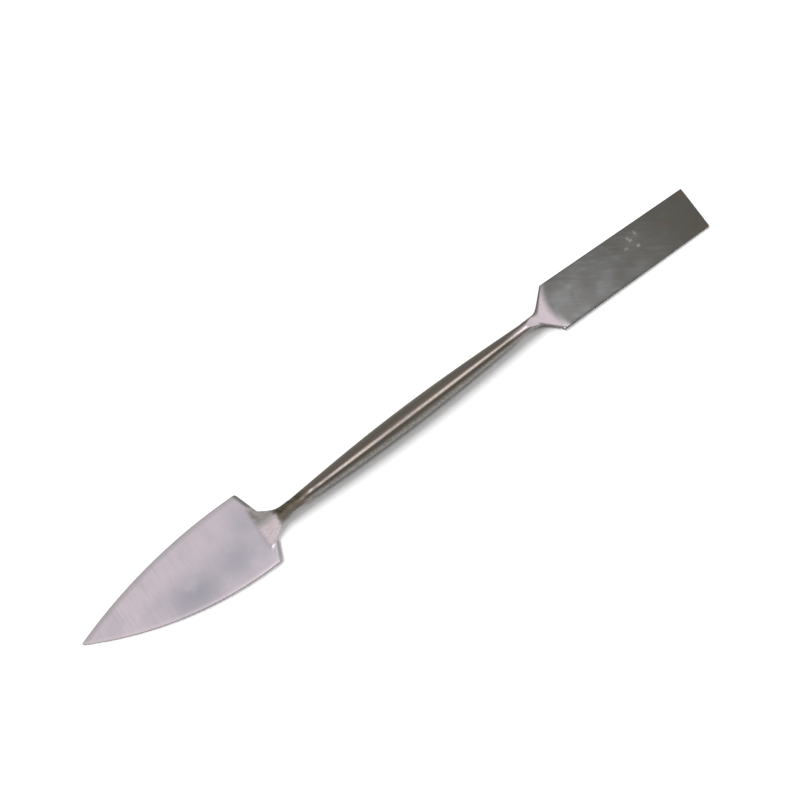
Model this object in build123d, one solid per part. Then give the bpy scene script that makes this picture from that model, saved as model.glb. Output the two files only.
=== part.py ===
from build123d import *
import os
from math import cos, pi, radians, sin, sqrt, tan

# A double-ended steel hand tool, forged in one piece: a pointed leaf blade, a slim oval handle
# and a square-ended blade. Both blades lie flat on the table, and cranked necks lift the handle
# off it. Millimetres. While the tool is built, X runs along the handle from the tip of the leaf,
# Y is to the left and Z is up from the table.

# Leaf blade
leaf_length = 64.3  # from the tip to the left shoulder, along the blade
leaf_right_lag = 0.7  # how much nearer to the handle the right shoulder lies
leaf_left_crest = 66.0  # from the tip to where the left edge's arc is farthest out
leaf_right_crest = 55.0
leaf_left_width = 12.7  # from the axis to the left edge, at that place
leaf_right_width = 13.4
leaf_tip_thickness = 0.8
leaf_root_thickness = 1.5
leaf_left_sweep = 18.0  # degrees that each back edge leans towards the handle
leaf_right_sweep = 23.5
leaf_skew = 3.7  # degrees that the blade turns from the line of the handle
leaf_offset = 1.7  # how far the blade's axis lies to the left at the shoulders
leaf_bevel_width = 1.0  # of the bevel on top of the back edges
leaf_bevel_depth = 0.6
leaf_back_length = 4.2  # from the left shoulder to where both back edges end, inside the bar
leaf_tip_radius = 0.3
leaf_left_shoulder_radius = 0.5
leaf_right_shoulder_radius = 1.0

# Square blade
square_length = 57.4  # from its left root corner to the end
square_root_width = 16.4
square_end_width = 15.5
square_root_thickness = 1.4
square_end_thickness = 1.0
square_skew = 2.1  # degrees that the blade turns from the line of the handle
square_offset = 0.7  # how far the blade's axis lies to the left at its root
square_root_lean = 8.0  # degrees that the line of the root corners leans
square_end_lean = 2.5  # degrees that the end is out of square
square_corner_radius = 0.4
square_corner_ledge = 0.3  # how far each root corner stands out from the spread bar

# Handle
handle_length = 92.6  # from neck to neck
swell_from_leaf = 44.0  # the thickest place, from the neck at the leaf
swell_width = 6.95
swell_height = 5.4
handle_axis_height = 3.9  # above the table
neck_width = 3.7
neck_height = 3.3

# Roots, where the oval bar drops to the table and is spread out into the blades
leaf_neck_length = 5.0  # from the neck to where the bar begins to spread
leaf_spread_length = 7.4  # from there to the shoulders
leaf_spread_angle = 36.5  # degrees, of each side of the spreading bar
leaf_spread_shift = 1.1  # how far the spread end of the bar lies to the left
leaf_spread_bend = 1.3  # length of the bend where the sides turn outwards
square_neck_length = 6.0
square_spread_length = 7.3
square_spread_angle = 44.0
square_spread_shift = -0.6
square_spread_bend = 1.5
spread_thickness = 4.4  # of the bar's buried end, before it is ground
buried_length = 1.5  # of the bar, inside each blade

# Grinding of the roots
wheel_radius = 14.0
wheel_depth = 0.2  # of the hollow under the blade's top face
grind_overlap = 0.5  # how far past the root the hollow comes up through that face
square_ramp_angle = 22.0  # degrees

edge_break = 0.2
handle_steps = 5  # sections from a neck to the swell
root_steps = 6  # sections from a neck to the bar's end

# Sizes of the blanks and cutters, which only have to reach past the tool
blank_thickness = leaf_root_thickness + square_root_thickness
slab_width = leaf_left_width + leaf_right_width  # to each side
slab_margin = 0.25  # share of a blade's length, past each end
grind_run = wheel_radius  # along the blade

# Places along the handle, measured from the tip of the leaf
leaf_root_x = leaf_length * cos(radians(leaf_skew))
leaf_neck_x = leaf_root_x + leaf_spread_length + leaf_neck_length
swell_x = leaf_neck_x + swell_from_leaf
square_neck_x = leaf_neck_x + handle_length
square_root_x = square_neck_x + square_neck_length + square_spread_length


def oval(x, y, z, width, height):
    """An upright elliptical section of the bar."""
    place = Plane(origin=(x, y, z), x_dir=(0, 1, 0), z_dir=(1, 0, 0))
    return place * Ellipse(width / 2, height / 2)


def blend(start, end, share):
    return start + (end - start) * share


def handle_section(neck_x, share):
    """The handle swells from a neck, share 0, to its thickest place, share 1, along a
    quarter of a sine wave."""
    swell = sin(share * pi / 2)
    width = blend(neck_width, swell_width, swell)
    height = blend(neck_height, swell_height, swell)
    return oval(blend(neck_x, swell_x, share), 0, handle_axis_height, width, height)


def root_section(
    neck_x, direction, neck_length, spread_length, angle, bend, shift, thickness, share
):
    """From a neck, share 0, the bar drops to the middle of its blade along half a cosine
    wave, and its sides bend outwards to the spread angle."""
    distance = share * (neck_length + spread_length + buried_length)
    past_bend = distance - neck_length
    spread = tan(radians(angle)) * (past_bend + sqrt(past_bend**2 + bend**2))
    drop = (1 - cos(share * pi)) / 2
    return oval(
        neck_x + direction * distance,
        shift * share**2,
        blend(handle_axis_height, thickness / 2, drop),
        neck_width + spread,
        blend(neck_height, spread_thickness, drop),
    )


def leaf_root_section(share):
    return root_section(
        leaf_neck_x, -1, leaf_neck_length, leaf_spread_length, leaf_spread_angle,
        leaf_spread_bend, leaf_spread_shift, leaf_root_thickness, share,
    )


def square_root_section(share):
    return root_section(
        square_neck_x, 1, square_neck_length, square_spread_length, square_spread_angle,
        square_spread_bend, square_spread_shift, square_root_thickness, share,
    )


def forged_bar():
    """The oval bar with both spread ends, as it is before the roots are ground."""
    handle_shares = [i / handle_steps for i in range(handle_steps + 1)]
    root_shares = [(i + 1) / root_steps for i in range(root_steps)]
    sections = [leaf_root_section(share) for share in reversed(root_shares)]
    sections += [handle_section(leaf_neck_x, share) for share in handle_shares]
    sections += [handle_section(square_neck_x, share) for share in reversed(handle_shares[:-1])]
    sections += [square_root_section(share) for share in root_shares]
    return loft(sections)


def leaf_place():
    """The leaf's own frame: the tip is at its origin and X runs towards the handle."""
    root = Pos(leaf_root_x, leaf_offset, 0) * Rot(0, 0, -leaf_skew)
    return root * Pos(-leaf_length, 0, 0)


def square_place():
    """The square blade's own frame: X runs from its left root corner to its end."""
    return Pos(square_root_x, square_offset, 0) * Rot(0, 0, -square_skew)


def tapered_slab(length, start_thickness, end_thickness, width):
    """A slab on the table, as thick as the blade along its length and past both ends."""
    slope = (end_thickness - start_thickness) / length
    near, far = -slab_margin * length, (1 + slab_margin) * length
    side = Polyline(
        (near, 0),
        (far, 0),
        (far, start_thickness + slope * far),
        (near, start_thickness + slope * near),
        close=True,
    )
    return extrude(Plane.XZ * make_face(side), amount=width, both=True)


def leaf_side(side):
    """Arc crest, width, sweep and shoulder of one side; side is 1 for the left, -1 for the right."""
    if side == 1:
        return leaf_left_crest, leaf_left_width, leaf_left_sweep, leaf_length
    return leaf_right_crest, leaf_right_width, leaf_right_sweep, leaf_length + leaf_right_lag


def leaf_half_width(u, side):
    """Each long edge is an arc from the tip, and is parallel to the axis at its crest."""
    crest, half = leaf_side(side)[:2]
    radius = (crest**2 + half**2) / (2 * half)
    return half - radius + sqrt(radius**2 - (u - crest) ** 2)


def leaf_corners(side):
    """The shoulder, and where the back edge ends inside the bar, as (u, v)."""
    sweep, shoulder_u = leaf_side(side)[2:]
    shoulder = leaf_half_width(shoulder_u, side)
    inner_u = leaf_length + leaf_back_length
    inner = shoulder - (inner_u - shoulder_u) / tan(radians(sweep))
    return (shoulder_u, side * shoulder), (inner_u, side * inner)


def leaf_outline():
    """An arc from the tip to each shoulder, and the swept back edges."""
    left, left_inner = leaf_corners(1)
    right, right_inner = leaf_corners(-1)
    half_way = leaf_length / 2
    left_arc = ThreePointArc((0, 0), (half_way, leaf_half_width(half_way, 1)), left)
    back = Polyline(left, left_inner, right_inner, right)
    right_arc = ThreePointArc(right, (half_way, -leaf_half_width(half_way, -1)), (0, 0))
    return make_face([left_arc.edge(), *back.edges(), right_arc.edge()])


def leaf_bevel_plane(side):
    """The plane of the bevel along a back edge; side is 1 for the left one, -1 for the right."""
    sweep = radians(leaf_side(side)[2])
    outward = Vector(cos(sweep), side * sin(sweep), 0)
    slant = outward * leaf_bevel_depth + Vector(0, 0, leaf_bevel_width)
    shoulder = leaf_corners(side)[0]
    return Plane(origin=(*shoulder, leaf_root_thickness - leaf_bevel_depth), z_dir=slant)


def leaf_blade():
    plate = extrude(leaf_outline(), amount=blank_thickness)
    plate &= tapered_slab(leaf_length, leaf_tip_thickness, leaf_root_thickness, slab_width)
    plate = fillet(plate.edges().filter_by(Axis.Z).sort_by(Axis.X)[0], leaf_tip_radius)
    plate = fillet(plate.edges().filter_by(Axis.Z).sort_by(Axis.Y)[-1], leaf_left_shoulder_radius)
    plate = fillet(plate.edges().filter_by(Axis.Z).sort_by(Axis.Y)[0], leaf_right_shoulder_radius)
    for side in (1, -1):
        plate = split(plate, bisect_by=leaf_bevel_plane(side), keep=Keep.BOTTOM)
    top = plate.faces().sort_by(Axis.Z)[-1]
    arcs = [edge for edge in top.edges() if edge.geom_type != GeomType.LINE]
    return leaf_place() * chamfer(arcs, edge_break)


def square_half_width(u):
    """The square blade narrows evenly from its root to its end."""
    return blend(square_root_width, square_end_width, u / square_length) / 2


def square_root_setback():
    """How much nearer to the handle the right root corner lies."""
    return square_root_width * tan(radians(square_root_lean))


def square_blade():
    left = square_half_width(0)
    end = square_half_width(square_length)
    end_lean = end * tan(radians(square_end_lean))
    corners = [
        (0, left),
        (square_length + end_lean, end),
        (square_length - end_lean, -end),
        (-square_root_setback(), -left),
    ]
    plate = extrude(make_face(Polyline(*corners, close=True)), amount=blank_thickness)
    plate &= tapered_slab(square_length, square_root_thickness, square_end_thickness, slab_width)
    end_corners = plate.edges().filter_by(Axis.Z).sort_by(Axis.X)[-2:]
    plate = fillet(end_corners, square_corner_radius)
    top = plate.faces().sort_by(Axis.Z)[-1]
    rim = top.edges().sort_by(Axis.X)[1:]
    return square_place() * chamfer(rim, edge_break)


def grind_along(hollow, rest):
    """A long cutter with the wheel's hollow rim in its side view."""
    side = make_face([hollow.edge(), *Polyline(*rest).edges()])
    return extrude(Plane.XZ * side, amount=slab_width, both=True)


def wheel_reach():
    """From the wheel's lowest point to where its rim comes up through the blade's top face."""
    return sqrt(wheel_radius**2 - (wheel_radius - wheel_depth) ** 2)


def leaf_grind():
    """The wheel runs along the leaf and leaves its rim's hollow at the root, beside the line
    of the shoulders."""
    low = leaf_root_thickness - wheel_depth
    start = leaf_length - grind_overlap - wheel_reach()
    top = (start + wheel_radius, low + wheel_radius)
    rim = RadiusArc((start, low), top, -wheel_radius)
    far = start - grind_run
    rest = [top, (far, low + wheel_radius), (far, low), (start, low)]
    return leaf_place() * grind_along(rim, rest)


def square_grind():
    """A ramp falls from the crown of the handle to the blade, and a hollow of the wheel's
    radius ends it beside the line of the root corners."""
    low = square_root_thickness - wheel_depth
    ramp = radians(square_ramp_angle)
    start = wheel_reach() + grind_overlap
    foot = (start - wheel_radius * sin(ramp), low + wheel_radius * (1 - cos(ramp)))
    top = (foot[0] - wheel_radius / tan(ramp), foot[1] + wheel_radius)
    rim = RadiusArc((start, low), foot, wheel_radius)
    far = start + grind_run
    rest = [foot, top, (far, top[1]), (far, low), (start, low)]
    line = Pos(-square_root_setback() / 2, 0, 0) * Rot(0, 0, -square_root_lean)
    return square_place() * line * grind_along(rim, rest)


def square_flash(side):
    """What is trimmed off the spread bar, so that the blade's long edge stands out from it;
    side is 1 for the left edge, -1 for the right."""
    near = -(square_neck_length + square_spread_length)
    far = grind_run
    corners = [
        (near, side * (square_half_width(near) - square_corner_ledge)),
        (far, side * (square_half_width(far) - square_corner_ledge)),
        (far, side * slab_width),
        (near, side * slab_width),
    ]
    flash = make_face(Polyline(*corners, close=True))
    return square_place() * extrude(flash, amount=slab_width, both=True)


def tool():
    bar = forged_bar() - leaf_grind() - square_grind() - square_flash(1) - square_flash(-1)
    bar = split(bar, bisect_by=Plane.XY, keep=Keep.TOP)
    return bar + leaf_blade() + square_blade()


spatula = tool()
box = spatula.bounding_box()
spatula = Pos(-box.center().X, -box.center().Y, 0) * spatula
print("solids", len(spatula.solids()), "valid", spatula.is_valid, "volume", round(spatula.volume))
print("length", round(box.size.X, 2), "width", round(box.size.Y, 2))
print("tip at", round(box.min.X, 3), "middle at", round(box.center().X, 3), round(box.center().Y, 3))
os.makedirs("parts", exist_ok=True)
export_step(spatula, "parts/spatula.step")
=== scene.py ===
# %% [markdown]
# # A forged double-ended spatula
# The object is one piece of steel: a pointed leaf blade, a slim swelled handle and a square-ended
# blade. All three are drawn out of one bar, and a wheel then grinds the blades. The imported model
# gives the exact place and size. Its own faces could be shown as they are, but they are long and
# thin, and such faces shade badly on a smooth handle. So this notebook builds a finer skin of the
# same sizes, then the finish of each zone of the steel, a pale table and soft light.

from math import cos, pi, radians, sin, sqrt, tan

import bpy
import numpy as np
from mathutils import Matrix, Vector


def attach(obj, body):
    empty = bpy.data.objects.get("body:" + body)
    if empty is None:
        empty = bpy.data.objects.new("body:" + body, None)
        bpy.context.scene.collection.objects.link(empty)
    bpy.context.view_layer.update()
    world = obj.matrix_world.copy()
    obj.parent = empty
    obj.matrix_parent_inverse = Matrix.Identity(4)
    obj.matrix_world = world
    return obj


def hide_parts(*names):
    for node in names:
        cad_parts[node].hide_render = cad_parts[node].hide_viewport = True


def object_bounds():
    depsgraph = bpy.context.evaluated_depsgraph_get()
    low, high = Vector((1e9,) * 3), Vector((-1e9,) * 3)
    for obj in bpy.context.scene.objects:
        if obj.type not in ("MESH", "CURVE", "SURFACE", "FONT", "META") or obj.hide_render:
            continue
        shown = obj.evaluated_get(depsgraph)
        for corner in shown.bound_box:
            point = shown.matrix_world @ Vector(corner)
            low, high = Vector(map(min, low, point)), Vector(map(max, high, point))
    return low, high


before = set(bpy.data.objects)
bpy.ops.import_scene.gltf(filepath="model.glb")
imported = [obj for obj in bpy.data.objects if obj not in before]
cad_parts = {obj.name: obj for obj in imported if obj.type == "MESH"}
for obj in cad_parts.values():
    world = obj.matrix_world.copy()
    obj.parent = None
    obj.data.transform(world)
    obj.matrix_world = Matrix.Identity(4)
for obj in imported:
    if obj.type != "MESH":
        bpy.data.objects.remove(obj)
cad_low, cad_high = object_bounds()
print("packed model, mm:", [round(1000 * (b - a), 2) for a, b in zip(cad_low, cad_high)])

# %% [markdown]
# ## The sizes of the tool
# Blender works in metres, so each size is written in millimetres times MM. The frame used here
# runs along the handle: X from the tip of the leaf, Y to the left, Z up from the table. The sizes
# could be written into each step, but named once and kept together they can be read as a list and
# changed in one place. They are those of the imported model, so the skin fits it.

# %% Sizes of the leaf
MM = 0.001

leaf_length = 64.3 * MM  # from the tip to the left shoulder
leaf_left_crest, leaf_right_crest = 66.0 * MM, 55.0 * MM  # where each long edge is farthest out
leaf_left_width, leaf_right_width = 12.7 * MM, 13.4 * MM  # from the axis to the edge, there
leaf_tip_thickness, leaf_root_thickness = 0.8 * MM, 1.5 * MM
leaf_right_lag = 0.7 * MM  # the right shoulder lies this much nearer to the handle
leaf_left_sweep, leaf_right_sweep = radians(18), radians(23.5)  # lean of the back edges
leaf_back_length = 4.2 * MM  # from the left shoulder to the end of both back edges
leaf_skew = radians(3.7)  # turn of the leaf's axis from that of the handle
leaf_offset = 1.7 * MM  # from the handle's axis to the leaf's, at the leaf's root
bevel_width, bevel_depth = 1.0 * MM, 0.6 * MM  # along the back edges
tip_radius = 0.3 * MM
left_shoulder_radius, right_shoulder_radius = 0.5 * MM, 1.0 * MM
arc_width = round((leaf_left_width + leaf_right_width) / MM, 1)
print("leaf", round(leaf_length / MM, 1), "mm long,", arc_width, "mm over both arcs")

# %% Sizes of the square
square_length = 57.4 * MM
square_root_width, square_end_width = 16.4 * MM, 15.5 * MM
square_root_thickness, square_end_thickness = 1.4 * MM, 1.0 * MM
square_skew = radians(2.1)  # turn of its axis from that of the handle
square_offset = 0.7 * MM  # from the handle's axis to its own, at its root
square_root_lean, square_end_lean = radians(8), radians(2.5)  # lean of its two short edges
square_corner_radius = 0.4 * MM
square_ledge = 0.3 * MM  # the bar's spread stays this much inside the long edges
print("square", [round(size / MM, 1) for size in (square_length, square_root_width)], "mm")

# %% Sizes of the handle
handle_length = 92.6 * MM  # from neck to neck
swell_from_leaf = 44.0 * MM  # from the neck at the leaf to the thickest place
swell_width, swell_height = 6.95 * MM, 5.4 * MM
neck_width, neck_height = 3.7 * MM, 3.3 * MM
axis_height = 3.9 * MM  # of the handle's axis, above the table
print("handle", [round(size / MM, 2) for size in (handle_length, swell_width)], "mm")

# %% Sizes of the roots and of the wheel that ground them
leaf_neck_length, leaf_spread_length = 5.0 * MM, 7.4 * MM  # neck to spread, spread to blade
leaf_spread, leaf_spread_bend = tan(radians(36.5)), 1.3 * MM  # slope of a side, and its easing
leaf_spread_shift = 1.1 * MM  # sideways, to the left
square_neck_length, square_spread_length = 6.0 * MM, 7.3 * MM
square_spread, square_spread_bend = tan(radians(44)), 1.5 * MM
square_spread_shift = -0.6 * MM  # sideways, to the right
spread_thickness = 4.4 * MM  # of the bar at both ends, before the wheel
buried_length = 1.5 * MM  # the bar goes on this far inside a blade

wheel_radius, wheel_depth = 14.0 * MM, 0.2 * MM
grind_overlap = 0.5 * MM  # the wheel bites this far past a blade's root
ramp_angle = radians(22)  # of the tongue that leads down to the square
edge_break, lower_edge_break = 0.2 * MM, 0.08 * MM  # radius of the upper and the lower edges
print("wheel", round(2 * wheel_radius / MM), "mm across")

# %% Where each part starts
leaf_root_x = leaf_length * cos(leaf_skew)
leaf_neck_x = leaf_root_x + leaf_spread_length + leaf_neck_length
swell_x = leaf_neck_x + swell_from_leaf
square_neck_x = leaf_neck_x + handle_length
square_root_x = square_neck_x + square_neck_length + square_spread_length
leaf_bar_length = leaf_neck_length + leaf_spread_length + buried_length
square_bar_length = square_neck_length + square_spread_length + buried_length
necks = [round(neck / MM, 1) for neck in (leaf_neck_x, square_neck_x)]
print("necks", necks, "mm from the tip")

# %% [markdown]
# ## Three frames
# Both blades are a little askew to the handle, as on any tool that is forged by hand. They could
# be built straight and turned afterwards, but then the roots would no longer meet them. Instead
# each blade has its own frame, where u runs along it and v across it, and these helpers turn a
# point of the table into u and v and back.


# %% Blade frames
def leaf_uv(x, y):
    dx, dy = x - leaf_root_x, y - leaf_offset
    c, s = cos(leaf_skew), sin(leaf_skew)
    return leaf_length + c * dx - s * dy, s * dx + c * dy


def leaf_point(u, v):
    c, s = cos(leaf_skew), sin(leaf_skew)
    return leaf_root_x + c * (u - leaf_length) + s * v, leaf_offset - s * (u - leaf_length) + c * v


def square_uv(x, y):
    dx, dy = x - square_root_x, y - square_offset
    c, s = cos(square_skew), sin(square_skew)
    return c * dx - s * dy, s * dx + c * dy


def square_point(u, v):
    c, s = cos(square_skew), sin(square_skew)
    return square_root_x + c * u + s * v, square_offset - s * u + c * v


print("tip of the leaf at", [round(p / MM, 2) for p in leaf_point(0, 0)], "mm")

# %% [markdown]
# ## Soft corners
# Where two surfaces of a forged and ground tool meet, the wheel and the polishing leave a small
# radius. A bevel modifier could round the edges afterwards, but the skin has no edge loops there.
# A soft minimum or maximum of two heights gives the radius where it belongs, in the same step.


# %% Soft minimum and maximum
def soft_min(a, b, radius):
    share = np.maximum(radius - np.abs(a - b), 0) / radius
    return np.minimum(a, b) - share * share * radius / 4


def soft_max(a, b, radius):
    return -soft_min(-a, -b, radius)


def mix(a, b, share):
    return a + (b - a) * share


print("a corner of radius 1 is cut down by", -soft_min(0.0, 0.0, 1.0))

# %% [markdown]
# ## The plan of each part
# Seen from above, each part is a shape on the table. Its outline could be drawn as a curve and
# filled, but the heights need to know how near an edge a point is. So each function gives how far
# a point lies inside the edge, and less than zero outside it. The leaf's long edges are two arcs
# of different reach, which makes it a little lopsided, as the real one is.


# %% Plan of the leaf
def leaf_arc(u, v, crest, half):
    """How far inside the arc whose edge is to the left; the right arc takes -v."""
    radius = (crest**2 + half**2) / (2 * half)
    return radius - np.hypot(u - crest, v + radius - half)


def leaf_sides(u, v):
    left = leaf_arc(u, v, leaf_left_crest, leaf_left_width)
    right = leaf_arc(u, -v, leaf_right_crest, leaf_right_width)
    return left, right


def shoulder_v(shoulder_u, crest, half):
    radius = (crest**2 + half**2) / (2 * half)
    return half - radius + sqrt(radius**2 - (shoulder_u - crest) ** 2)


left_shoulder_u, right_shoulder_u = leaf_length, leaf_length + leaf_right_lag
left_shoulder_v = shoulder_v(left_shoulder_u, leaf_left_crest, leaf_left_width)
right_shoulder_v = shoulder_v(right_shoulder_u, leaf_right_crest, leaf_right_width)
shoulders = [round(out / MM, 2) for out in (left_shoulder_v, right_shoulder_v)]
print("shoulders", shoulders, "mm out")


# %% Back edges of the leaf
def leaf_backs(u, v):
    """How far inside the left and the right back edge."""
    left_u, left_v = left_shoulder_u - u, left_shoulder_v - v
    right_u, right_v = right_shoulder_u - u, right_shoulder_v + v
    left = left_u * cos(leaf_left_sweep) + left_v * sin(leaf_left_sweep)
    right = right_u * cos(leaf_right_sweep) + right_v * sin(leaf_right_sweep)
    return left, right


def leaf_plan(u, v):
    left, right = leaf_sides(u, v)
    left_back, right_back = leaf_backs(u, v)
    tip = soft_min(left, right, tip_radius)
    rounded_left = soft_min(tip, left_back, left_shoulder_radius)
    rounded_right = soft_min(tip, right_back, right_shoulder_radius)
    across = leaf_length + leaf_back_length - u
    return np.minimum(np.minimum(rounded_left, rounded_right), across)


middle_depth = leaf_plan(leaf_length / 2, 0.0)
print("the middle of the leaf is", round(middle_depth / MM, 2), "mm from an edge")


# %% Plan of the square
def square_half(u):
    return mix(square_root_width, square_end_width, u / square_length) / 2


square_setback = square_root_width * tan(square_root_lean)


def root_line(u, v):
    """How far past the line between the root corners."""
    return cos(square_root_lean) * (u + square_setback / 2) - sin(square_root_lean) * v


def square_end(u, v):
    return (square_length + v * tan(square_end_lean) - u) * cos(square_end_lean)


def square_plan(u, v):
    sides = square_half(u) - np.abs(v)
    ends = np.minimum(sides, root_line(u, v))
    return soft_min(ends, square_end(u, v), square_corner_radius)


print("one root corner lies", round(square_setback / MM, 2), "mm before the other")

# %% [markdown]
# ## The forged bar
# The handle is an oval bar. It swells from each neck to its thickest place, then past the necks
# it drops to the table and spreads into the blades. It could be lofted through a few drawn ovals,
# but here a formula gives the oval at any x: the swell is a quarter of a sine wave and the drop is
# half a cosine wave. That needs only a few sizes, and each wave runs smoothly along its length.


# %% Swell of the handle
def handle_share(x):
    """0 at both necks and 1 at the thickest place."""
    before = (x - leaf_neck_x) / swell_from_leaf
    after = (square_neck_x - x) / (square_neck_x - swell_x)
    return np.sin(np.clip(np.minimum(before, after), 0, 1) * pi / 2)


thickest_share = round(float(handle_share(swell_x)), 3)
print("share", thickest_share, "at", round(swell_x / MM, 1), "mm from the tip")


# %% Spread past the necks
def root_section(distance, neck_length, bar_length, spread, bend, thickness):
    """Added width, height of the axis and height of the oval at a distance past a neck."""
    past_bend = distance - neck_length
    side = spread * (past_bend + np.sqrt(past_bend**2 + bend**2))
    drop = (1 - np.cos(np.clip(distance / bar_length, 0, 1) * pi)) / 2
    return side, mix(axis_height, thickness / 2, drop), mix(neck_height, spread_thickness, drop)


def leaf_root(past):
    sizes = leaf_neck_length, leaf_bar_length, leaf_spread, leaf_spread_bend
    return root_section(past, *sizes, leaf_root_thickness)


def square_root(past):
    sizes = square_neck_length, square_bar_length, square_spread, square_spread_bend
    return root_section(past, *sizes, square_root_thickness)


added = leaf_root(leaf_neck_length + leaf_spread_length)[0]
print("at the leaf the bar is", round((neck_width + added) / MM, 1), "mm wide")


# %% Sections of the bar
def bar_section(x):
    """Middle across, middle above the table, half width and half height."""
    swell = handle_share(x)
    width, height = mix(neck_width, swell_width, swell), mix(neck_height, swell_height, swell)
    middle, lift = np.zeros_like(x), np.full_like(x, axis_height)
    before, after = leaf_neck_x - x, x - square_neck_x
    for past, length, shift, (side, rise, tall) in (
        (before, leaf_bar_length, leaf_spread_shift, leaf_root(before)),
        (after, square_bar_length, square_spread_shift, square_root(after)),
    ):
        there = past > 0
        width = np.where(there, neck_width + side, width)
        height = np.where(there, tall, height)
        lift = np.where(there, rise, lift)
        middle = np.where(there, shift * (past / length) ** 2, middle)
    return middle, lift, width / 2, height / 2


bar_start, bar_end = leaf_neck_x - leaf_bar_length, square_neck_x + square_bar_length


def bar_plan(x, y):
    middle, _, half, _ = bar_section(x)
    inside = half - np.abs(y - middle)
    u, v = square_uv(x, y)
    trimmed = square_half(u) - square_ledge - np.abs(v)
    inside = np.where(x > square_neck_x, np.minimum(inside, trimmed), inside)
    return np.minimum(inside, np.minimum(x - bar_start, bar_end - x))


print("bar from", round(bar_start / MM, 1), "to", round(bar_end / MM, 1), "mm from the tip")

# %% [markdown]
# ## Faces of the blades
# Both blades are thinner away from the handle. The leaf has a bevel along its back edges, and all
# upper edges have a small radius. Each face is a height over the table: a sloping plane, lowered
# near an edge. That needs no cutting, and the slope stays exact.


# %% Tops of the blades
def rounded_edge(inside, radius):
    """How much lower a face is near an edge of that radius."""
    gap = np.clip(1 - inside / radius, 0, 1)
    return radius * (1 - np.sqrt(1 - gap * gap))


def leaf_top(u, v):
    face = mix(leaf_tip_thickness, leaf_root_thickness, u / leaf_length)
    back = np.minimum(*leaf_backs(u, v))
    bevel = leaf_root_thickness - bevel_depth + back * bevel_depth / bevel_width
    sides = np.minimum(*leaf_sides(u, v))
    return soft_min(face, bevel, edge_break / 2) - rounded_edge(sides, edge_break)


def square_top(u, v):
    face = mix(square_root_thickness, square_end_thickness, u / square_length)
    rim = np.minimum(square_half(u) - np.abs(v), square_end(u, v))
    return face - rounded_edge(rim, edge_break)


middle_thickness = leaf_top(leaf_length / 2, 0.0)
print("the leaf is", round(middle_thickness / MM, 2), "mm thick in its middle")

# %% [markdown]
# ## What the grinding wheel leaves
# A wheel was run across each root. It leaves a hollow of its own radius, and at the square the
# grinding goes on as a straight ramp, the bright tongue. A cutter could be taken off the mesh
# with a boolean, but that leaves ragged faces. Here the bar's height is simply limited to the
# height of the wheel's rim.

# %% Grinding at both roots
far_above = 1.0  # a height in metres that stays out of the way of every minimum
wheel_reach = sqrt(wheel_radius**2 - (wheel_radius - wheel_depth) ** 2)


def hollow(past, low):
    """The wheel's rim, a distance past its lowest point."""
    inside = np.clip(past, 0, wheel_radius)
    return low + wheel_radius - np.sqrt(wheel_radius**2 - inside**2)


def wheel_at_leaf(x, y):
    u = leaf_uv(x, y)[0]
    lowest_u = leaf_length - grind_overlap - wheel_reach
    rim = hollow(u - lowest_u, leaf_root_thickness - wheel_depth)
    return np.where(u > leaf_length + wheel_radius / 2, far_above, rim)


def wheel_at_square(x, y):
    past = wheel_reach + grind_overlap - root_line(*square_uv(x, y))
    low = square_root_thickness - wheel_depth
    ramp_start = wheel_radius * sin(ramp_angle)
    ramp_low = low + wheel_radius * (1 - cos(ramp_angle))
    ramp = ramp_low + (past - ramp_start) * tan(ramp_angle)
    return np.where(past > ramp_start, ramp, hollow(np.minimum(past, ramp_start), low))


def ground_top(x, y):
    """What the wheel leaves of the bar."""
    return np.where(x < swell_x, wheel_at_leaf(x, y), wheel_at_square(x, y))


print("the rim rises to a blade's face over", round(wheel_reach / MM, 2), "mm")

# %% [markdown]
# ## Hammer marks
# By the neck at the leaf the bar was left as the hammer and the dies made it, so the bright line
# along the handle starts with a notch and a few waves. A bump in the material would show in the
# gloss but not in the outline, so these shallow dents are part of the height.

# %% Dents by the neck
dents = [  # x, y, radius and depth
    (80.4 * MM, 0.2 * MM, 1.5 * MM, 0.35 * MM),
    (84.2 * MM, -0.9 * MM, 1.5 * MM, 0.13 * MM),
    (88.0 * MM, 0.3 * MM, 2.0 * MM, 0.08 * MM),
    (73.5 * MM, 0.8 * MM, 1.6 * MM, 0.15 * MM),
    (76.6 * MM, -0.7 * MM, 1.3 * MM, 0.12 * MM),
]


def hammered(x, y):
    """How deep the marks of the dies and the hammer are."""
    depth = np.zeros_like(x)
    for dent_x, dent_y, radius, deepest in dents:
        depth += deepest * np.exp(-((x - dent_x) ** 2 + (y - dent_y) ** 2) / radius**2)
    return depth


print(len(dents), "dents")

# %% [markdown]
# ## Top and bottom
# The top of the tool is the highest of the leaf, the ground bar and the square. The bottom is flat
# under both blades and round under the handle. The three parts could be joined as meshes, but one
# pair of heights over the same plan makes the joins smooth and leaves no hidden faces inside.


# %% Height of the top and of the bottom
def bar_arch(x, y):
    """Height of the bar's axis, half height of the oval, and its share left at that y."""
    middle, lift, half, tall = bar_section(x)
    return lift, tall, np.sqrt(np.clip(1 - ((y - middle) / half) ** 2, 0, 1))


def top_height(x, y):
    lift, tall, arch = bar_arch(x, y)
    crown = lift + tall * arch - hammered(x, y) * arch
    bar = soft_min(crown, ground_top(x, y), edge_break)
    bar = np.where(bar_plan(x, y) > -edge_break, bar, 0)
    u, v = leaf_uv(x, y)
    leaf = np.where(leaf_plan(u, v) > -edge_break, leaf_top(u, v), 0)
    u, v = square_uv(x, y)
    square = np.where(square_plan(u, v) > -edge_break, square_top(u, v), 0)
    return soft_max(bar, np.maximum(leaf, square), edge_break / 2)


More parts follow.
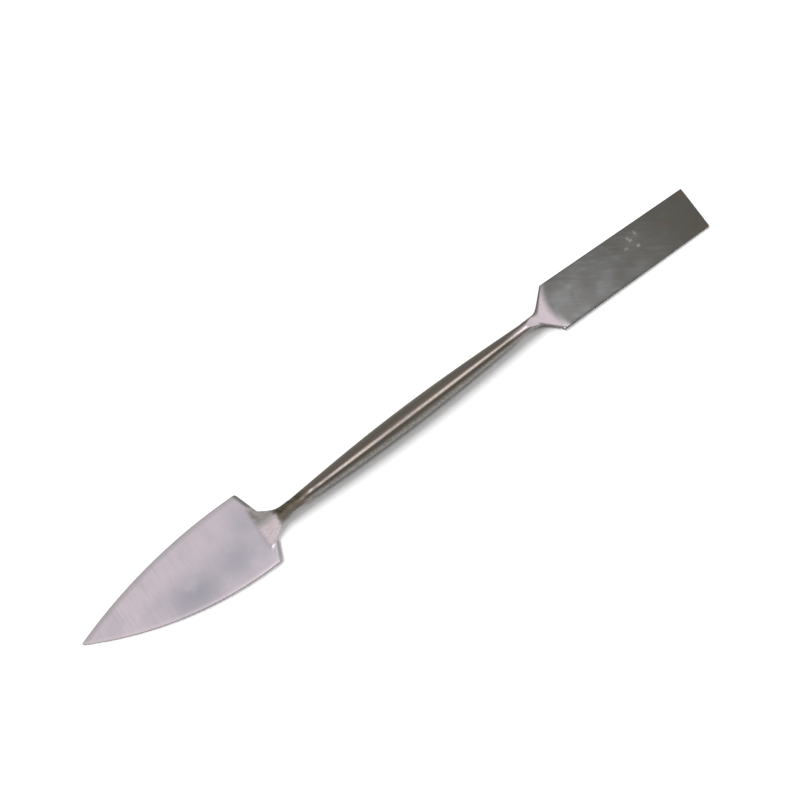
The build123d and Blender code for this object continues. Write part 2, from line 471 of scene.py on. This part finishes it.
def bottom_height(x, y):
    lift, tall, arch = bar_arch(x, y)
    bar = np.maximum(lift - tall * arch, 0)
    bar = np.where(bar_plan(x, y) > -edge_break, bar, far_above)
    blades = np.maximum(leaf_plan(*leaf_uv(x, y)), square_plan(*square_uv(x, y)))
    flat = np.where(blades > -edge_break, rounded_edge(blades, lower_edge_break), far_above)
    return np.minimum(bar, flat)


crown = top_height(np.array([swell_x]), np.array([0.0]))[0]
print("crown", round(crown / MM, 2), "mm above the table")

# %% [markdown]
# ## Rows across the tool
# A skin of even rows shades far better than the long thin triangles of a CAD export. Each row is a
# straight line across the tool. An even grid of rows would need too many of them, so they lie
# close together only where the outline turns. They swing slowly, so that they are square to each
# blade and in line with the root of the square.


# %% Rows
def stations(first, *stops):
    """Places from the first on; each stop says where it is and how far apart its rows are."""
    places = [first]
    for stop, step in stops:
        count = max(1, round((stop - places[-1]) / step))
        places += list(np.linspace(places[-1], stop, count + 1)[1:])
    return np.array(places)


tip_setback = 0.42 * MM  # the rounded tip starts this much behind the point of the two arcs
end_x = square_root_x + square_length
row_x = stations(
    tip_setback,
    (tip_setback + 0.1 * MM, 0.02 * MM),
    (1.0 * MM, 0.06 * MM),
    (4.0 * MM, 0.2 * MM),
    (leaf_length - 1.5 * MM, 0.5 * MM),
    (leaf_length + 5.0 * MM, 0.1 * MM),
    (leaf_neck_x, 0.2 * MM),
    (leaf_neck_x + 10 * MM, 0.4 * MM),
    (square_neck_x - 4 * MM, 0.7 * MM),
    (square_root_x - 3 * MM, 0.25 * MM),
    (square_root_x + 3 * MM, 0.1 * MM),
    (end_x - 1 * MM, 0.6 * MM),
    (end_x - 0.2 * MM, 0.1 * MM),
    (end_x, 0.02 * MM),
)
print(len(row_x), "rows")

# %% Where each row starts and which way it runs
straight_end = leaf_length - 3 * MM  # up to here the rows are square to the leaf
keys = np.array(
    [  # place of the row, x and y of its start, and its lean
        (tip_setback, *leaf_point(tip_setback, 0), leaf_skew),
        (straight_end, *leaf_point(straight_end, 0), leaf_skew),
        (leaf_neck_x, leaf_neck_x, 0, 0),
        (square_neck_x, square_neck_x, 0, 0),
        (square_root_x, *square_point(-square_setback / 2, 0), square_skew + square_root_lean),
        (end_x, *square_point(square_length, 0), square_skew + square_end_lean),
    ]
)
origin_x, origin_y, lean = (np.interp(row_x, keys[:, 0], keys[:, i]) for i in (1, 2, 3))
print("rows lean by up to", round(lean.max() * 180 / pi, 1), "degrees")


# %% How far each row reaches
def plan(x, y):
    leaf = leaf_plan(*leaf_uv(x, y))
    square = square_plan(*square_uv(x, y))
    return np.maximum(np.maximum(leaf, square), bar_plan(x, y))


halvings = 40  # far finer than any size here


def reach(side):
    """How far each row runs to one side before it leaves the tool, by halving."""
    run_x, run_y = side * np.sin(lean), side * np.cos(lean)
    inside, outside = np.zeros_like(row_x), np.full_like(row_x, 2 * leaf_right_width)
    for _ in range(halvings):
        middle = (inside + outside) / 2
        within = plan(origin_x + middle * run_x, origin_y + middle * run_y) > 0
        inside, outside = np.where(within, middle, inside), np.where(within, outside, middle)
    return inside


left, right = reach(1), reach(-1)
print("widest row", round((left + right).max() / MM, 2), "mm")

# %% [markdown]
# ## The skin
# Every row is a closed ring: over the top from one side to the other and back underneath. The
# points could be spaced evenly, but they crowd towards both sides, as on a circle, so the same
# ring suits the round handle and the small radius along a blade's edge.

# %% Rings of points
ring_points = 112
turn = (np.arange(ring_points) + 0.5) * 2 * pi / ring_points
across = np.cos(turn)
over = turn < pi  # the first half of each ring lies on top

distance = (left - right)[:, None] / 2 + across[None, :] * (left + right)[:, None] / 2
x = origin_x[:, None] + distance * np.sin(lean)[:, None]
y = origin_y[:, None] + distance * np.cos(lean)[:, None]
z = np.where(over[None, :], top_height(x, y), bottom_height(x, y))
print("height", round(z.max() / MM, 2), "mm")

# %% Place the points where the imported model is
points = np.stack([x, y, z], axis=2).reshape(-1, 3)
middle = (points.min(0) + points.max(0)) / 2
cad_middle = (cad_low + cad_high) / 2
tip_x = cad_middle.x - middle[0]
axis_y = cad_middle.y - middle[1]
points[:, 0] += tip_x
points[:, 1] += axis_y
print(len(points), "points; the tip is at", round(tip_x / MM, 2), "mm")

# %% Faces
rows = len(row_x)
faces = []
for row in range(rows - 1):
    a, b = row * ring_points, (row + 1) * ring_points
    for i in range(ring_points):
        j = (i + 1) % ring_points
        faces.append((a + i, a + j, b + j, b + i))
for row, order in ((0, 1), (rows - 1, -1)):  # close both ends from side to side
    first = row * ring_points
    last = first + ring_points - 1
    for i in range(ring_points // 2 - 1):
        faces.append((first + i, last - i, last - i - 1, first + i + 1)[::order])
print(len(faces), "faces")

# %% The mesh
mesh = bpy.data.meshes.new("spatula_skin")
mesh.from_pydata(points.tolist(), [], faces)
mesh.validate()
skin = bpy.data.objects.new("spatula_skin", mesh)
bpy.context.scene.collection.objects.link(skin)
mesh.shade_smooth()
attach(skin, "root")
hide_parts("spatula")
print(len(mesh.polygons), "faces in", skin.name)

# %% [markdown]
# ## Nodes for the steel
# The whole tool is one steel, but every zone had its own treatment: both blades and roots were
# ground, the handle was only smoothed, and the neck by the leaf still has its forge scale. Each
# zone could be a material of its own, but then every join would be a hard line. So one material
# holds all finishes, and these helpers keep each of them down to a few lines.


# %% Colours
def srgb(red, green, blue):
    """A colour as a paint program shows it, turned into the linear values that nodes use."""

    def linear(value):
        value /= 255
        return value / 12.92 if value <= 0.04045 else ((value + 0.055) / 1.055) ** 2.4

    return (linear(red), linear(green), linear(blue), 1.0)


steel = bpy.data.materials.new("steel")
steel.use_nodes = True
tree = steel.node_tree
print("a mid grey of 128 is", round(srgb(128, 128, 128)[0], 3), "in linear light")


# %% Node helpers
def feed(socket, value):
    """Links a socket to another one, or gives it a plain value."""
    if isinstance(value, bpy.types.NodeSocket):
        socket.id_data.links.new(value, socket)
    else:
        socket.default_value = value


def calculate(operation, a, b=0.0):
    made = tree.nodes.new("ShaderNodeMath")
    made.operation = operation
    feed(made.inputs[0], a)
    feed(made.inputs[1], b)
    return made.outputs[0]


def times(a, b):
    return calculate("MULTIPLY", a, b)


def together(*shares):
    """The greatest of several shares."""
    total = shares[0]
    for share in shares[1:]:
        total = calculate("MAXIMUM", total, share)
    return total


def fade(value, zero, one):
    """A soft step: 0 where the value is at zero and 1 where it is at one."""
    made = tree.nodes.new("ShaderNodeMapRange")
    made.interpolation_type = "SMOOTHSTEP"
    feed(made.inputs["Value"], value)
    made.inputs["From Min"].default_value = zero
    made.inputs["From Max"].default_value = one
    return made.outputs[0]


print("nodes so far:", len(tree.nodes))


# %% Mixing helpers
def layer(share, under, over):
    """Lays one colour over another; the Mix node's colour sockets are 6, 7 and output 2."""
    made = tree.nodes.new("ShaderNodeMix")
    made.data_type = "RGBA"
    feed(made.inputs["Factor"], share)
    feed(made.inputs[6], under)
    feed(made.inputs[7], over)
    return made.outputs[2]


def tint(under, where, strength, over):
    """Lays a colour over another where a mask says, and never thicker than the strength."""
    return layer(times(where, strength), under, over)


def amount(share, under, over):
    """Mixes two plain numbers, such as two roughnesses; their sockets are 2, 3 and output 0."""
    made = tree.nodes.new("ShaderNodeMix")
    feed(made.inputs["Factor"], share)
    feed(made.inputs[2], under)
    feed(made.inputs[3], over)
    return made.outputs[0]


print("nodes so far:", len(tree.nodes))

# %% [markdown]
# ## Where the finish is
# A texture could be unwrapped onto the skin, but the shape's own frames already say where every
# mark belongs. So the coordinates are the object's own, turned into millimetres and into the same
# three frames. A grinding mark then lies along its own blade, and stays there from every side.


# %% Coordinates in millimetres
def mapped(vector, location=(0, 0, 0), angle=0.0, scale=(1, 1, 1)):
    made = tree.nodes.new("ShaderNodeMapping")
    feed(made.inputs["Vector"], vector)
    made.inputs["Location"].default_value = location
    made.inputs["Rotation"].default_value = (0, 0, angle)
    made.inputs["Scale"].default_value = scale
    return made.outputs[0]


def parts_of(vector):
    made = tree.nodes.new("ShaderNodeSeparateXYZ")
    feed(made.inputs[0], vector)
    return made.outputs


def in_mm(point):
    return (point[0] / MM, point[1] / MM, 0)


coordinates = tree.nodes.new("ShaderNodeTexCoord")
to_mm = (1 / MM, 1 / MM, 1 / MM)
tool_mm = mapped(coordinates.outputs["Object"], in_mm((-tip_x, -axis_y)), scale=to_mm)
leaf_mm = mapped(tool_mm, in_mm(leaf_uv(0, 0)), leaf_skew)
square_mm = mapped(tool_mm, in_mm(square_uv(0, 0)), square_skew)
tool_x, tool_y, tool_z = parts_of(tool_mm)
leaf_u, leaf_v, _ = parts_of(leaf_mm)
square_u, square_v, _ = parts_of(square_mm)
_, facing_left, facing_up = parts_of(coordinates.outputs["Normal"])
upper_side = fade(facing_up, 0.0, 0.4)
tip_place = [round(place, 1) for place in in_mm(square_uv(0, 0))[:2]]
print("in the square's frame the tip is at", tip_place, "mm")


# %% Noise and streaks
def noise(vector, scale, detail=2.0, roughness=0.5):
    made = tree.nodes.new("ShaderNodeTexNoise")
    feed(made.inputs["Vector"], vector)
    made.inputs["Scale"].default_value = scale
    made.inputs["Detail"].default_value = detail
    made.inputs["Roughness"].default_value = roughness
    return made.outputs["Fac"]


def streaks(vector, across, along, angle=0.0):
    """Noise drawn out in one direction; across and along are the changes per millimetre."""
    drawn_out = mapped(mapped(vector, angle=angle), scale=(along, across, 1))
    return noise(drawn_out, 1.0, 3.0, 0.6)


print("nodes so far:", len(tree.nodes))


# %% Spots, lines and arcs
def spot(vector, centre, radii):
    """1 in the middle of an oval spot and 0 at its rim."""
    (u, v), (long, wide) = centre, radii
    moved = mapped(vector, (-u / long, -v / wide, 0), scale=(1 / long, 1 / wide, 0))
    made = tree.nodes.new("ShaderNodeVectorMath")
    made.operation = "LENGTH"
    feed(made.inputs[0], moved)
    return fade(made.outputs["Value"], 1.0, 0.0)


def past_line(vector, point, angle):
    """How far past a line through that point; the angle is that of its normal, from u to v."""
    made = tree.nodes.new("ShaderNodeVectorMath")
    made.operation = "DOT_PRODUCT"
    feed(made.inputs[0], mapped(vector, (-point[0], -point[1], 0)))
    made.inputs[1].default_value = (cos(angle), sin(angle), 0)
    return made.outputs["Value"]


def inside_arc(vector, crest, half):
    """How far inside a long edge of the leaf; half is below zero for the right edge."""
    radius = (crest**2 + half**2) / (2 * abs(half))
    middle_v = half - radius * (1 if half > 0 else -1)
    made = tree.nodes.new("ShaderNodeVectorMath")
    made.operation = "LENGTH"
    feed(made.inputs[0], mapped(vector, (-crest, -middle_v, 0), scale=(1, 1, 0)))
    return calculate("SUBTRACT", radius, made.outputs["Value"])


print("nodes so far:", len(tree.nodes))

# %% [markdown]
# ## The leaf
# It was ground on a wheel that ran across it, so its fine lines lie across too. It is a warm,
# slightly pink light grey, partly its ground finish and partly a painted reflection of bright
# surroundings, with bluish patches where it was polished more. Its rounded long edges carry
# painted reflections: a greyer rim along the left edge and a lighter one along the right. One flat
# colour would look like plastic, and an anisotropic shader would be lost in the export, so the
# lines are drawn-out noise in the colour, the gloss and the relief.

# %% Lines and patches of the leaf
leaf_lines = streaks(leaf_mm, 0.06, 1.3)
leaf_fine_lines = streaks(leaf_mm, 0.25, 3.2)
leaf_cloud = noise(leaf_mm, 0.13, 3.0)

# The light grey is partly the ground finish and partly a painted reflection of bright
# surroundings.
leaf_colour = layer(fade(leaf_u, 4, 66), srgb(193, 182, 189), srgb(181, 171, 178))
leaf_colour = tint(leaf_colour, fade(leaf_lines, 0.42, 0.7), 0.5, srgb(170, 161, 169))
leaf_colour = tint(leaf_colour, fade(leaf_fine_lines, 0.5, 0.8), 0.5, srgb(199, 188, 194))
leaf_colour = tint(leaf_colour, fade(leaf_cloud, 0.45, 0.65), 0.35, srgb(168, 162, 168))
polished = together(
    spot(leaf_mm, (38, -7), (19, 11)),
    times(spot(leaf_mm, (55, -5), (20, 12)), 0.9),
    times(spot(leaf_mm, (61, 3), (8, 12)), 0.7),
)
polished = times(polished, fade(leaf_cloud, 0.0, 0.5))
leaf_colour = tint(leaf_colour, polished, 0.9, srgb(146, 144, 153))
print("nodes so far:", len(tree.nodes))

# %% Rims and bevels of the leaf
# Painted reflections on the rounded long edges: a greyer rim along the left and a lighter one
# along the right.
left_rim_reflection = fade(inside_arc(leaf_mm, leaf_left_crest / MM, leaf_left_width / MM), 2.4, 0.2)
right_rim_reflection = fade(inside_arc(leaf_mm, leaf_right_crest / MM, -leaf_right_width / MM), 1.4, 0.3)
leaf_colour = tint(leaf_colour, left_rim_reflection, 0.7, srgb(150, 146, 147))
leaf_colour = tint(leaf_colour, right_rim_reflection, 0.4, srgb(205, 194, 199))
left_shoulder = (left_shoulder_u / MM, left_shoulder_v / MM)
right_shoulder = (right_shoulder_u / MM, -right_shoulder_v / MM)
left_bevel = fade(past_line(leaf_mm, left_shoulder, leaf_left_sweep), -2.0, -0.5)
right_bevel = fade(past_line(leaf_mm, right_shoulder, -leaf_right_sweep), -1.6, -0.8)
leaf_colour = tint(leaf_colour, left_bevel, 0.9, srgb(112, 113, 110))
leaf_colour = tint(leaf_colour, right_bevel, 0.5, srgb(150, 145, 147))
leaf_roughness = amount(leaf_lines, 0.24, 0.38)
leaf_roughness = amount(together(left_bevel, right_bevel), leaf_roughness, 0.55)
leaf_height = calculate("ADD", times(leaf_lines, 0.5), times(leaf_fine_lines, 0.5))
print("nodes so far:", len(tree.nodes))

# %% [markdown]
# ## Root of the leaf and the forge scale
# The wheel also ground the root, leaving fine lines. Its near side is painted bright and its far
# side grey, a painted reflection of how its two slopes catch the light, with mottling of its own.
# The narrow neck still has the dark, olive brown scale from the forge, painted a little lighter on
# its near side as a reflection. It could be a layer of small flakes, but it is thinner than a
# hair, so patches of colour, roughness and relief do.

# %% Finish of the root and the neck
root_lines = streaks(leaf_mm, 2.6, 0.35)
scale_patches = noise(tool_mm, 0.55, 4.0, 0.65)
scale_grain = noise(tool_mm, 2.2, 2.0)
uneven = calculate("SUBTRACT", scale_patches, 0.5)  # breaks up straight joins

# Painted reflection: the near side of the root bright and the far side grey; the lines and the
# mottling are the steel's own.
lit_root_with_lines = tint(srgb(204, 192, 196), fade(root_lines, 0.45, 0.7), 0.7, srgb(164, 155, 156))
shaded_root_with_mottle = layer(fade(scale_patches, 0.34, 0.66), srgb(118, 116, 112), srgb(158, 153, 152))
root_side = calculate("ADD", leaf_v, times(uneven, 6))
root_colour = layer(fade(root_side, -2.2, 1.6), lit_root_with_lines, shaded_root_with_mottle)
scale_colour = layer(fade(scale_patches, 0.34, 0.66), srgb(54, 50, 40), srgb(86, 80, 70))
# Painted reflection: the scale is lighter towards the near side.
scale_colour = tint(scale_colour, fade(tool_y, 0.6, -0.9), 0.5, srgb(126, 115, 105))
scale_colour = tint(scale_colour, fade(scale_grain, 0.5, 0.75), 0.25, srgb(130, 121, 108))
print("nodes so far:", len(tree.nodes))

# %% [markdown]
# ## The handle
# It was smoothed along its length and is darker than the blades. Its tones run along it as bands,
# and bands drawn at a fixed width would slide off the swell. So the place around the bar is
# measured as an angle from the crown. The crown gets a painted highlight, brighter towards both
# ends, beside the strip lamp's real one; just below it is a band of painted dark reflection; and
# the near flank is painted a little lighter, as a reflection of the pale table, with a grain of
# its own.

# %% Place around the handle
above_axis = calculate("SUBTRACT", tool_z, axis_height / MM)
side_angle = calculate("ARCTAN2", tool_y, above_axis)  # in radians, 0 on the crown
around = calculate("ABSOLUTE", side_angle)
near_side = fade(tool_y, 0.4, -0.4)
# Painted reflection of the pale table on the near flank.
near_flank_reflection = times(times(fade(around, 0.75, 1.1), near_side), fade(around, 2.6, 1.9))
# Painted highlight along the crown.
painted_crown_highlight = times(fade(side_angle, 0.1, -0.1), fade(around, 0.55, 0.35))
# Painted dark reflection in a band just below the crown.
under_crown_dark_reflection = times(fade(around, 0.36, 0.5), fade(around, 0.9, 0.6))
under_crown_dark_reflection = times(under_crown_dark_reflection, fade(tool_y, 0.2, -0.4))
print("nodes so far:", len(tree.nodes))

# %% Finish of the handle
handle_lines = streaks(tool_mm, 2.4, 0.05)
handle_grain = noise(tool_mm, 1.6, 3.0)
# The near flank's lighter tone is a painted reflection, over its real grain.
flank_reflection_and_grain = layer(fade(handle_grain, 0.35, 0.65), srgb(112, 108, 103), srgb(139, 135, 130))
# The crown's painted highlight, brighter towards both ends.
crown_highlight_colour = layer(fade(tool_x, 115, 155), srgb(105, 98, 95), srgb(136, 127, 123))
crown_highlight_colour = layer(fade(tool_x, 118, 96), crown_highlight_colour, srgb(140, 131, 127))

handle_colour = layer(fade(handle_lines, 0.35, 0.7), srgb(89, 84, 77), srgb(101, 95, 88))
handle_colour = layer(near_flank_reflection, handle_colour, flank_reflection_and_grain)
handle_colour = tint(handle_colour, painted_crown_highlight, 0.8, crown_highlight_colour)
handle_colour = tint(handle_colour, under_crown_dark_reflection, 0.7, srgb(70, 65, 58))
handle_roughness = amount(handle_grain, 0.26, 0.36)
print("nodes so far:", len(tree.nodes))

# %% [markdown]
# ## The square blade
# The blade is dull and dark, partly its own duller finish and partly a painted reflection of dark
# surroundings, and darker still towards its end. It has soft slanting marks from the wheel, a few
# bright specks where it was knocked, a painted dark line along its rounded long edges, and the
# first brown of rust by the end. The marks could be cut as shape, but they are far too shallow, so
# they are streaks of noise turned to the slant. The specks stay on the upper side, because the
# photo shows only that one.

# %% Marks of the square
square_marks = streaks(square_mm, 0.9, 0.16, angle=radians(32))
square_fine_marks = streaks(square_mm, 2.6, 0.3, angle=radians(24))
square_cloud = noise(square_mm, 0.12, 3.0)

# Partly the blade's own duller finish, partly a painted reflection of dark surroundings.
square_colour = layer(fade(square_u, 10, 58), srgb(106, 107, 107), srgb(80, 77, 71))
square_colour = layer(fade(square_u, 24, 0), square_colour, srgb(127, 127, 128))
square_colour = tint(square_colour, fade(square_v, -5, 6), 0.5, srgb(85, 84, 81))
light_marks = times(fade(square_marks, 0.45, 0.8), fade(square_u, 60, 5))
square_colour = tint(square_colour, light_marks, 0.35, srgb(134, 133, 131))
square_colour = tint(square_colour, fade(square_marks, 0.5, 0.2), 0.3, srgb(82, 79, 74))
square_colour = tint(square_colour, fade(square_fine_marks, 0.5, 0.8), 0.07, srgb(150, 147, 143))
square_colour = tint(square_colour, fade(square_cloud, 0.4, 0.7), 0.4, srgb(80, 76, 70))
square_roughness = amount(square_marks, 0.3, 0.36)
print("nodes so far:", len(tree.nodes))


# %% Specks, rust and painted dark rim of the square
def spots(rows):
    """Several spots of the square: place, radii and strength of each."""
    return together(*(times(spot(square_mm, place, radii), part) for place, radii, part in rows))


speck_rows = [
    ((35.9, 4.4), (0.7, 1.4), 0.8),
    ((33.2, 3.2), (1.1, 0.9), 1.0),
    ((32.8, 4.2), (0.6, 1.0), 1.0),
    ((34.3, 0.3), (1.1, 0.9), 1.0),
    ((30.4, 1.6), (1.3, 0.8), 0.6),
    ((33.5, 3.0), (5.0, 3.5), 0.1),
    ((7.4, 2.4), (1.8, 1.4), 0.3),
]
rust_rows = [
    ((46, 1.5), (3.5, 2.0), 0.6),
    ((57, 6.5), (3.5, 3.5), 1.0),
    ((56, -6.5), (2.5, 2.5), 0.6),
]
specks = times(spots(speck_rows), upper_side)
square_colour = tint(square_colour, specks, 0.6, srgb(160, 156, 151))
square_colour = tint(square_colour, spots(rust_rows), 0.5, srgb(98, 76, 64))
# Painted shade: a darker line along the rounded long edges.
rim_width = calculate("SUBTRACT", square_root_width / (2 * MM), calculate("ABSOLUTE", square_v))
square_colour = tint(square_colour, fade(rim_width, 0.9, 0.2), 0.5, srgb(70, 68, 64))
print(len(speck_rows), "specks,", len(rust_rows), "patches of rust")

# %% [markdown]
# ## The tongue
# The ramp from the handle down to the square was ground, and its light tone is partly that ground
# steel and partly a painted reflection, which carries the handle's bright line on down the slope.
# Its sides roll over to the rough bar, which shows as a dark band along the far side, narrower
# towards the blade, and a thin dark line along the near one. Both could be painted by hand on a
# texture, but a distance past a line gives each of them. Towards the blade the light tone ends
# along a bow, where the wheel left off, so that join is bent by the square of v.

# %% Finish of the tongue
tongue_lines = streaks(square_mm, 2.2, 0.2)
# Partly ground steel, partly a painted reflection that continues the handle's bright line.
tongue_colour = srgb(210, 198, 204)
tongue_colour = tint(tongue_colour, fade(tongue_lines, 0.45, 0.75), 0.5, srgb(184, 171, 177))

past_neck = fade(tool_x, 171.5, 174.5)
far_line = past_line(tool_mm, (174.5, 2.6), radians(128))
far_line = calculate("SUBTRACT", far_line, times(fade(tool_x, 175, 184), 1.1))
far_band = times(times(fade(far_line, -2.4, -1.3), past_neck), fade(tool_y, 0.6, 1.8))
near_line = past_line(tool_mm, (174.5, -2.6), radians(-131))
near_band = times(fade(near_line, -1.0, -0.6), fade(near_line, -0.1, -0.5))
near_band = times(times(near_band, past_neck), fade(tool_y, -1.0, -2.0))
tongue_colour = tint(tongue_colour, far_band, 0.85, srgb(96, 91, 88))
tongue_colour = tint(tongue_colour, near_band, 0.8, srgb(100, 94, 92))
print("nodes so far:", len(tree.nodes))

# %% Join of the tongue and the square
root_middle = (-square_setback / (2 * MM), 0)
past_root = past_line(square_mm, root_middle, -square_root_lean)
right_side = calculate("MAXIMUM", calculate("SUBTRACT", -1.0, square_v), 0.0)
bow = calculate("ADD", times(right_side, 0.2), times(times(square_v, square_v), 0.022))
past_tongue = calculate("SUBTRACT", past_root, bow)
print("nodes so far:", len(tree.nodes))

# %% [markdown]
# ## One steel
# The finishes are laid over each other from one end to the other. Vertex groups could hold the
# zones, but masks made from the coordinates are as fine as the picture. Soft steps, broken up by
# noise, make each join look ground by hand instead of painted.

# %% Where each zone is
ragged_x = calculate("ADD", tool_x, times(uneven, 3.0))
is_root = fade(leaf_u, leaf_length / MM - 0.7, leaf_length / MM + 0.9)
is_root = times(is_root, fade(calculate("ABSOLUTE", leaf_v), 8.0, 6.0))
is_scale = fade(ragged_x, 69.3, 71.6)
is_handle = fade(ragged_x, 78.5, 83.0)
tilt = calculate("ABSOLUTE", calculate("ADD", facing_left, 0.1))  # the ramp leans a little
flat_on_top = times(fade(tilt, 0.5, 0.2), upper_side)
is_tongue = times(fade(tool_x, 160, 175), flat_on_top)
is_square = fade(past_tongue, -3.0, 0.8)
print("nodes so far:", len(tree.nodes))

# %% Colour, roughness and relief of all zones
colour = layer(is_root, leaf_colour, root_colour)
colour = layer(is_scale, colour, scale_colour)
colour = layer(is_handle, colour, handle_colour)
colour = layer(is_tongue, colour, tongue_colour)
colour = layer(is_square, colour, square_colour)

rough = amount(is_root, leaf_roughness, amount(root_lines, 0.3, 0.45))
rough = amount(is_scale, rough, amount(scale_grain, 0.42, 0.6))
rough = amount(is_handle, rough, handle_roughness)
rough = amount(is_tongue, rough, 0.3)
rough = amount(is_square, rough, square_roughness)

relief = amount(is_root, leaf_height, root_lines)
relief = amount(is_scale, relief, times(scale_patches, 5.0))
relief = amount(is_handle, relief, calculate("ADD", handle_lines, handle_grain))
relief = amount(is_square, relief, times(square_marks, 0.5))
print("nodes so far:", len(tree.nodes))

# %% Shader of the steel
relief_depth = 0.01 * MM

shader = tree.nodes["Principled BSDF"]
shader.inputs["Metallic"].default_value = 1.0
bump = tree.nodes.new("ShaderNodeBump")
bump.inputs["Strength"].default_value = 0.6
bump.inputs["Distance"].default_value = relief_depth
feed(bump.inputs["Height"], relief)
feed(shader.inputs["Base Color"], colour)
feed(shader.inputs["Roughness"], rough)
feed(shader.inputs["Normal"], bump.outputs[0])
mesh.materials.append(steel)
print(len(tree.nodes), "nodes in the steel")

# %% [markdown]
# ## Camera
# The photo looks down on the tool from 72 degrees, with a long lens from a normal distance. The
# camera could be turned by hand until it fits, but two angles and a distance are easier to
# correct: it is set back from the middle of the picture and then made to look at it.

# %% Camera
camera_distance = 0.7
camera_elevation = radians(72)
camera_turn = radians(38.53)  # of the tool in the picture
camera_target = Vector((tip_x + 124.5 * MM, axis_y + 6.87 * MM, 0))

forward = Vector((sin(camera_turn), cos(camera_turn), 0))
camera_data = bpy.data.cameras.new("camera")
camera_data.lens = 100.1
camera_data.sensor_width = 36
camera_data.clip_start = 0.01
camera_data.clip_end = 20
camera = bpy.data.objects.new("camera", camera_data)
bpy.context.scene.collection.objects.link(camera)
back, rise = -cos(camera_elevation) * camera_distance, sin(camera_elevation) * camera_distance
camera.location = camera_target + forward * back + Vector((0, 0, rise))
camera.rotation_mode = "QUATERNION"
camera.rotation_quaternion = (camera_target - camera.location).to_track_quat("-Z", "Y")
bpy.context.scene.camera = camera
print("camera at", [round(value, 3) for value in camera.location], "m")

# %% [markdown]
# ## Table
# A plain pale table catches the shadow. A plain backdrop with no table would be simpler, but the
# tool would float. To rays from the camera, and to those that the steel mirrors, the table is
# painted lighter than a real paint can be. So it reads as white and its shadow keeps its depth,
# while the light that it throws back on the tool stays that of a pale table.

# %% Table
half_table = 3.0
table_gap = 0.02 * MM  # clear of the blades' undersides

table_mesh = bpy.data.meshes.new("table")
corner_signs = [(-1, -1), (1, -1), (1, 1), (-1, 1)]
corners = [(a * half_table, b * half_table, 0) for a, b in corner_signs]
table_mesh.from_pydata(corners, [], [(0, 1, 2, 3)])
table = bpy.data.objects.new("table", table_mesh)
bpy.context.scene.collection.objects.link(table)
table.location.z = -table_gap
print("table", 2 * half_table, "m wide")


# %% Paint of the table
def seen_share():
    """1 for rays from the camera and for mirrored ones, 0 for those that only carry light."""
    path = tree.nodes.new("ShaderNodeLightPath").outputs
    return together(path["Is Camera Ray"], path["Is Glossy Ray"], path["Is Transmission Ray"])


table_paint = bpy.data.materials.new("table_paint")
table_paint.use_nodes = True
table_mesh.materials.append(table_paint)
tree = table_paint.node_tree
tree.nodes.remove(tree.nodes["Principled BSDF"])
paint = tree.nodes.new("ShaderNodeBsdfDiffuse")
feed(tree.nodes["Material Output"].inputs["Surface"], paint.outputs[0])
real_paint, seen_paint = 0.85, 1.22
feed(paint.inputs["Color"], amount(seen_share(), real_paint, seen_paint))
print("paint", real_paint, "for light and", seen_paint, "for the eye")

# %% [markdown]
# ## Light
# The room is an even white, as around a small object in a light tent: the camera and the steel
# see it at full strength, but it gives only a little light. A sun as wide as a big window, behind
# the tool, draws the soft shadow on the near right. An area lamp could do that too, but a sun
# lights the whole table evenly, however far off. The steel doesn't mirror it, because its wide
# disc would drown the handle's bright line. That line is the reflection of a strip lamp above,
# whose long side runs along the handle.

# %% Room
real_room, seen_room = 0.18, 1.0

world = bpy.data.worlds.new("studio")
world.use_nodes = True
bpy.context.scene.world = world
tree = world.node_tree
feed(tree.nodes["Background"].inputs["Color"], (1, 1, 1, 1))
feed(tree.nodes["Background"].inputs["Strength"], amount(seen_share(), real_room, seen_room))
print("room", real_room, "for light and", seen_room, "for the eye")

# %% Strip lamp
strip_long, strip_wide, strip_distance = 0.2, 0.16, 0.6
strip_radiance = 6.5

strip_data = bpy.data.lights.new("strip", "AREA")
strip_data.shape = "RECTANGLE"
strip_data.size, strip_data.size_y = strip_long, strip_wide
strip_data.energy = strip_radiance * pi * strip_long * strip_wide
strip = bpy.data.objects.new("strip", strip_data)
bpy.context.scene.collection.objects.link(strip)
away = Vector((0.19, -0.07, 0.98)).normalized()  # from the tool to the lamp
handle_way = Vector((1, 0, 0))
side = (handle_way - away * handle_way.dot(away)).normalized()
strip.matrix_world = Matrix((side, away.cross(side), away)).transposed().to_4x4()
strip.location = camera_target + away * strip_distance
strip.visible_camera = False
print("strip lamp", round(strip_data.energy, 3), "W")

# %% Sun
sun_way = Vector((0.28, -0.53, -0.8))  # the way its light goes

sun_data = bpy.data.lights.new("key", "SUN")
sun_data.energy = 2.55
sun_data.angle = radians(42)  # as wide as a big window
sun = bpy.data.objects.new("key", sun_data)
bpy.context.scene.collection.objects.link(sun)
sun.rotation_mode = "QUATERNION"
sun.rotation_quaternion = sun_way.to_track_quat("-Z", "Y")
sun.visible_glossy = False
bpy.context.scene.view_settings.view_transform = "Standard"
print("sun", round(sun_data.energy, 2), "W per square metre")
